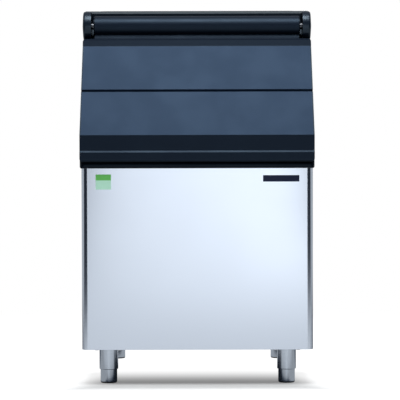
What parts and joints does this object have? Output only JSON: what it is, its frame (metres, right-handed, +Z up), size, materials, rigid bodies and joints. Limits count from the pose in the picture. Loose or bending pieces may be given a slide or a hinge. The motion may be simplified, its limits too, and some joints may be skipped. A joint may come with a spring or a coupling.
{
  "type": "ice storage bin",
  "caption": "Free-standing insulated ice storage bin: stainless body on adjustable feet, sloped lift-up door on a roll hinge, white liner, ice-drop opening in the top deck.",
  "frame": {"origin": "on the floor, under the middle of the whole outline", "axes": "+Z up; the door and the front face -Y; +X to the right seen from the front"},
  "size_m": [0.77, 0.864, 1.2377],
  "materials": {
    "stainless": "fine satin polish",
    "galvanised": "dull zinc",
    "leg_steel": "satin",
    "door_plastic": "fine grained, slate blue-grey",
    "black_plastic": "satin near-black",
    "white_plastic": "smooth white",
    "grey_deck": "grey painted steel",
    "foam": "hidden rigid foam",
    "rubber": "matt black",
    "bearing": "off-white nylon"
  },
  "bodies": {
    "cabinet": {"outer_shell": "stainless", "rear_panel": "galvanised", "base_panel": "galvanised", "insulation_foam": "foam", "ice_liner": "white_plastic", "top_frame": "black_plastic", "machine_deck": "grey_deck", "deck_seal": "rubber", "drain_tail": "white_plastic", "drain_nut": "white_plastic", "drain_strainer": "white_plastic", "hinge_pin_left": "leg_steel", "hinge_cap_left": "black_plastic", "hinge_bracket_left": "galvanised", "hinge_bolt_left_lower": "leg_steel", "hinge_bolt_left_upper": "leg_steel", "baffle_bracket_left": "white_plastic", "hinge_pin_right": "leg_steel", "hinge_cap_right": "black_plastic", "hinge_bracket_right": "galvanised", "hinge_bolt_right_lower": "leg_steel", "hinge_bolt_right_upper": "leg_steel", "baffle_bracket_right": "white_plastic", "leg_plate_front_left": "galvanised", "leg_sleeve_front_left": "leg_steel", "leg_plate_front_right": "galvanised", "leg_sleeve_front_right": "leg_steel", "leg_plate_rear_left": "galvanised", "leg_sleeve_rear_left": "leg_steel", "leg_plate_rear_right": "galvanised", "leg_sleeve_rear_right": "leg_steel"},
    "door": {"door_skin": "door_plastic", "door_foam": "foam", "door_inner_panel": "white_plastic", "door_gasket": "rubber", "roll_plug_left": "black_plastic", "roll_plug_right": "black_plastic", "hinge_bush_left": "bearing", "hinge_bush_right": "bearing"},
    "baffle": {"ice_baffle": "white_plastic"},
    "foot_front_left": {"foot_barrel_front_left": "leg_steel", "foot_pad_front_left": "rubber"},
    "foot_front_right": {"foot_barrel_front_right": "leg_steel", "foot_pad_front_right": "rubber"},
    "foot_rear_left": {"foot_barrel_rear_left": "leg_steel", "foot_pad_rear_left": "rubber"},
    "foot_rear_right": {"foot_barrel_rear_right": "leg_steel", "foot_pad_rear_right": "rubber"}
  },
  "joints": [
    {"name": "door_hinge", "type": "hinge", "parent": "cabinet", "child": "door", "pos_m": [0, -0.16718, 1.182], "axis": [-1, 0, 0], "range_deg": [0, 148]},
    {"name": "baffle_hinge", "type": "hinge", "parent": "cabinet", "child": "baffle", "pos_m": [0, -0.09399, 1.07448], "axis": [1, 0, 0], "range_deg": [0, 75]},
    {"name": "foot_front_left_travel", "type": "slide", "parent": "cabinet", "child": "foot_front_left", "axis": [0, 0, -1], "range_m": [0, 0.02]},
    {"name": "foot_front_right_travel", "type": "slide", "parent": "cabinet", "child": "foot_front_right", "axis": [0, 0, -1], "range_m": [0, 0.02]},
    {"name": "foot_rear_left_travel", "type": "slide", "parent": "cabinet", "child": "foot_rear_left", "axis": [0, 0, -1], "range_m": [0, 0.02]},
    {"name": "foot_rear_right_travel", "type": "slide", "parent": "cabinet", "child": "foot_rear_right", "axis": [0, 0, -1], "range_m": [0, 0.02]}
  ]
}
